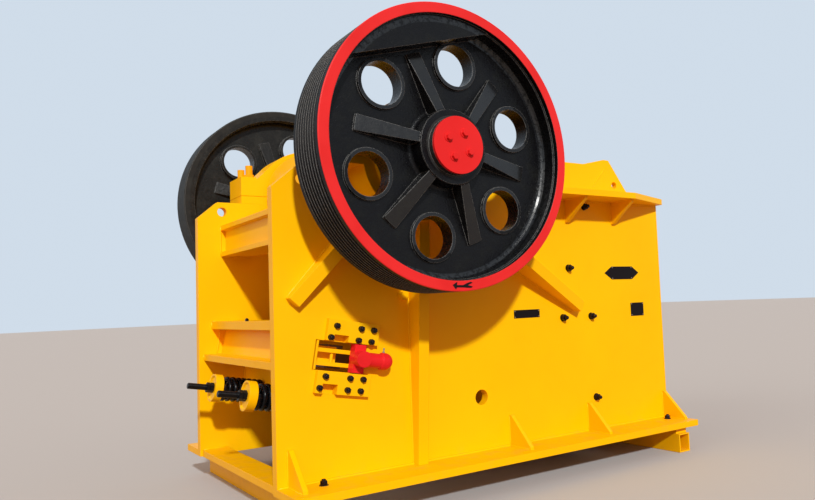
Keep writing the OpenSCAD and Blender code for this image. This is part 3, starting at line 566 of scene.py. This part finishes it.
def coil_spring(side):
    """Wire wound round the rod: closed end turns, and open turns between them."""
    form = bmesh.new()
    base = ROD_PIN + Vector((0, side * ROD_Y, 0)) + ROD_WAY * SPRING_START
    wire = Matrix.Translation((COIL_R, 0, WIRE_R)) @ Matrix.Rotation(math.pi / 2, 4, "X")
    ring = bmesh.ops.create_circle(form, segments=WIRE_SIDES, radius=WIRE_R,
                                   matrix=place_at(base, ROD_WAY) @ wire)["verts"]
    last = ring + edges_within(ring)
    bmesh.ops.holes_fill(form, edges=edges_within(ring), sides=0)
    closed_steps = round(CLOSED_TURNS * STEPS_A_TURN)
    open_steps = round((TURNS - 2 * CLOSED_TURNS) * STEPS_A_TURN)
    closed_rise = 2 * WIRE_R * CLOSED_TURNS
    open_rise = SPRING_LEN - 2 * WIRE_R - 2 * closed_rise
    for steps, rise in ((closed_steps, closed_rise), (open_steps, open_rise),
                        (closed_steps, closed_rise)):
        last = bmesh.ops.spin(form, geom=last, cent=base, axis=ROD_WAY,
                              dvec=ROD_WAY * (rise / steps),
                              angle=math.tau * steps / STEPS_A_TURN, steps=steps)["geom_last"]
    bmesh.ops.holes_fill(form, edges=edges_within(verts_of(last)), sides=0)
    bmesh.ops.recalc_face_normals(form, faces=form.faces[:])
    return form


dress(black_gloss("rod_black", 0.24, thread=60.0), "near_tension_rod", "far_tension_rod")
spring_black = black_gloss("spring_black", 0.18)
for side, name in SIDES:
    spring = finished(name + "_coil", coil_spring(side), spring_black, "frame")
    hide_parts(name + "_tension_spring")

# Crushing chamber
# The jaw plates, side liners and toggle parts are bare manganese steel and machined
# steel, grey-brown with thin rust.
STEEL_BROWN = (0.115, 0.080, 0.058, 1.0)
STEEL_GREY = (0.23, 0.22, 0.21, 1.0)


def bare_steel(name, rough, rust):
    """Grey steel with pits and clouds of brown rust; more rust with a higher share."""
    skin = Finish(name, {"Metallic": 0.55})
    cloud = skin.noise(5.0, 6.0, 0.62)
    pits = skin.noise(70.0, 4.0, 0.6)
    rusted = cloud.rise(0.5 - rust, 0.8 - rust)
    skin.feed(Base_Color=skin.blend(rusted, STEEL_GREY, STEEL_BROWN),
              Roughness=rough + pits * 0.25)
    skin.bump(cloud * 0.5 + pits * 0.5, 0.0022, 0.006)
    return skin.material


dress(bare_steel("cast_steel", 0.50, 0.12),
      "fixed_jaw_plate", "near_chamber_liners", "far_chamber_liners", "moving_jaw_plate")
dress(bare_steel("turned_steel", 0.28, -0.1), "toggle_plate", "toggle_seats", "eccentric_shaft")

# Wheels
# Grooved pulley and flywheel: iron castings under thick black paint that leaves their rough
# skin showing, glossier on the pulley. The turned front of each rim is painted red.
CAST_BLACK = (0.003, 0.003, 0.004, 1.0)
CAST_GREY = (0.009, 0.010, 0.008, 1.0)
DULL_BLACK = (0.012, 0.012, 0.011, 1.0)
DULL_GREY = (0.034, 0.035, 0.031, 1.0)
GLINT_GREY = (0.27, 0.285, 0.285, 1.0)
RIM_RED = (0.72, 0.024, 0.026, 1.0)
RIM_RED_DEEP = (0.60, 0.012, 0.013, 1.0)
FACE_Y = 1.9325
PULLEY_RIM_IN, PULLEY_WEB_IN = 1.019, 0.178
FLYWHEEL_RIM_IN, FLYWHEEL_WEB_IN = 0.993, 0.105
RIM_BEFORE_GROOVES = 1.04
BOSS_R, BOSS_FACE_Y = 0.24, 1.9
RIBS_FROM, RIBS_TO = 0.30, 0.80


def wheel_paint(name, side, rim_in, web_in, dark, light, glint):
    """Black paint with painted highlights along its edges, red on the rim's front and glossier
    on the raised ribs.
    """
    skin = Finish(name, {"Specular IOR Level": 0.20, "Coat Roughness": 0.11})
    x, y, z = skin.split(skin.where())
    x, z = x - SHAFT.x, z - SHAFT.z
    radius = (x * x + z * z).root()
    outward = y * side
    front = outward > (FACE_Y - 0.005)
    red = front * (radius > rim_in)
    turned = (radius > RIM_BEFORE_GROOVES) * (1.0 - front)
    boss = (radius < BOSS_R) * (outward > BOSS_FACE_Y)
    ribs = (outward > (FACE_Y - web_in + 0.010)) * (radius > RIBS_FROM) * (radius < RIBS_TO)
    throat = (radius > rim_in - 0.062) * (radius < rim_in - 0.014)
    lumps = skin.noise(8.0, 5.0, 0.62)
    sand = skin.noise(30.0, 5.0, 0.65)
    runs = skin.noise(3.2, 3.0)
    grit = skin.noise(75.0, 4.0, 0.6)
    black = skin.blend(lumps.rise(0.42, 0.75) * 0.5 + sand.rise(0.5, 0.8) * 0.3, dark, light)
    # Painted highlights: eased edges (in broken lines) and the groove edges (in full) are
    # lightened toward a pale grey that stands in for glints. The raised ribs get a faint painted
    # sheen of the same grey, and the boss is lifted a little toward it too.
    painted_glints = skin.edges(0.008) * (sand.rise(0.35, 0.5) * (1.0 - turned * 0.5) + turned * 0.9)
    black = skin.blend(painted_glints * 0.7 + boss * 0.08 + ribs * 0.01, black, GLINT_GREY)
    coat = skin.blend(runs.rise(0.35, 0.7) * 0.5, RIM_RED, RIM_RED_DEEP)
    skin.feed(Base_Color=skin.blend(red, black, coat),
              Roughness=0.14 + sand * 0.28 + red * 0.1 + turned * 0.35,
              Coat_Weight=throat * sand.rise(0.38, 0.55) * glint + ribs * 0.45)
    rough = (1.0 - red) * (1.0 - turned * 0.85) * (1.0 - ribs * 0.7)
    skin.bump((lumps * 0.12 + sand * 0.2 + grit * 0.2) * rough, 0.012, 0.010)
    return skin.material


dress(wheel_paint("pulley_paint", -1, PULLEY_RIM_IN, PULLEY_WEB_IN, CAST_BLACK, CAST_GREY, 0.6),
      "drive_pulley")
dress(wheel_paint("flywheel_paint", 1, FLYWHEEL_RIM_IN, FLYWHEEL_WEB_IN, DULL_BLACK, DULL_GREY,
                  0.0), "flywheel")

# Hub caps
# A red steel disc closes the end of each hub, held by four screws with turned washers.
# Screws and washers were painted with the disc.
CAP_SCREWS, SCREW_CIRCLE, FIRST_SCREW = 4, 0.105, 28
WASHER_Y, WASHER_R, WASHER_TOP_R, WASHER_HALF = 1.981, 0.036, 0.034, 0.003

cap_red = sprayed("cap_red", RIM_RED, RIM_RED_DEEP, gloss=0.30, edge=0.004, dusty=False)
dress(cap_red, "hub_caps")

form = bmesh.new()
for side in (-1, 1):
    for i in range(CAP_SCREWS):
        angle = math.radians(360 / CAP_SCREWS * i + side * FIRST_SCREW)
        at = (SHAFT.x + SCREW_CIRCLE * math.cos(angle), side * WASHER_Y,
              SHAFT.z - side * SCREW_CIRCLE * math.sin(angle))
        drum(form, place_at(at, (0, side, 0)), -WASHER_HALF, WASHER_HALF, WASHER_R, WASHER_TOP_R,
             segments=32)
finished("cap_washers", form, cap_red, "rotor")

# Direction arrow
# A black arrow, painted by hand on the red ring of the pulley, shows which way the wheels
# turn. It is a film of paint with ragged edges.
ARROW_POINTS = ((-0.986, 1.750), (-0.944, 1.774), (-0.948, 1.749), (-0.893, 1.748),
                (-0.858, 1.762), (-0.823, 1.772), (-0.808, 1.765), (-0.824, 1.757),
                (-0.850, 1.746), (-0.830, 1.742), (-0.806, 1.736), (-0.820, 1.726),
                (-0.859, 1.727), (-0.888, 1.730), (-0.948, 1.732), (-0.957, 1.716),
                (-0.974, 1.735))
ARROW_Y, ARROW_THICK = -1.9335, 0.0012

form = bmesh.new()
arrow = form.faces.new([form.verts.new((x, ARROW_Y, z)) for x, z in ARROW_POINTS])
lifted = bmesh.ops.extrude_face_region(form, geom=[arrow])["geom"]
bmesh.ops.translate(form, vec=(0, -ARROW_THICK, 0), verts=verts_of(lifted))
bmesh.ops.recalc_face_normals(form, faces=form.faces[:])
finished("direction_arrow", form, black_gloss("arrow_black", 0.35), "rotor")

# Studio
# A plain pale floor under a pale sky, a main lamp behind the camera, a soft one from the
# left, and the camera where the photograph was taken.
FLOOR_PALE = (0.50, 0.54, 0.57, 1.0)
FLOOR_BOUNCE = (0.30, 0.175, 0.12, 1.0)
FLOOR_HALF, FLOOR_Z = 120.0, -0.0015
SKY_PALE = (0.63, 0.72, 0.82, 1.0)
SKY_LIGHT = (0.58, 0.37, 0.26, 1.0)
CAMERA_AT = (-3.9324, -6.4838, 1.6144)
YAW, PITCH, ROLL = (math.radians(a) for a in (36.74012, 4.02649, -2.37876))


def plain_ground():
    """A pale floor that bounces a warmer, darker light than it shows."""
    ground = Finish("pale_floor", {"Roughness": 0.85, "Specular IOR Level": 0.2})
    ground.feed(Base_Color=ground.blend(ground.seen(), FLOOR_BOUNCE, FLOOR_PALE))
    return ground.material


form = bmesh.new()
bmesh.ops.create_grid(form, x_segments=1, y_segments=1, size=FLOOR_HALF,
                      matrix=Matrix.Translation((0, 0, FLOOR_Z)))
floor = mesh_object("floor", form, plain_ground())

world = bpy.data.worlds.new("studio")
world.use_nodes = True
bpy.context.scene.world = world
world.node_tree.nodes.clear()
sky = Tree(world.node_tree)
sky_colour = sky.blend(sky.seen(), SKY_LIGHT, SKY_PALE)
glow = sky.node("ShaderNodeBackground", inputs={"Color": sky_colour})
sky.node("ShaderNodeOutputWorld", inputs={"Surface": glow})


def lamp(name, energy, angle, colour, way):
    """A sun lamp that shines along way; a wide angle, in degrees, makes soft shadows."""
    light = bpy.data.lights.new(name, "SUN")
    light.energy = energy
    light.angle = math.radians(angle)
    light.color = colour
    stand = bpy.data.objects.new(name, light)
    stand.rotation_euler = Vector(way).to_track_quat("-Z", "Y").to_euler()
    bpy.context.scene.collection.objects.link(stand)


lamp("main_lamp", energy=2.9, angle=3, colour=(1.0, 0.99, 0.96), way=(0.35, 1.0, -0.60))
lamp("side_lamp", energy=0.56, angle=40, colour=(1.0, 0.94, 0.84), way=(1.0, 0.04, -0.50))

ahead = Vector((math.sin(YAW) * math.cos(PITCH), math.cos(YAW) * math.cos(PITCH),
                math.sin(PITCH)))
level = Vector((math.cos(YAW), -math.sin(YAW), 0))
upward = level.cross(ahead)
right = level * math.cos(ROLL) + upward * math.sin(ROLL)
up = upward * math.cos(ROLL) - level * math.sin(ROLL)
lens = bpy.data.cameras.new("camera")
lens.sensor_width = 36.0
lens.lens = 32.267
lens.shift_x = -0.1135
lens.clip_end = 500.0
camera = bpy.data.objects.new("camera", lens)
camera.matrix_world = Matrix.Translation(CAMERA_AT) @ Matrix(
    (right, up, -ahead)).transposed().to_4x4()
bpy.context.scene.collection.objects.link(camera)
bpy.context.scene.camera = camera
bpy.context.scene.view_settings.view_transform = "Standard"
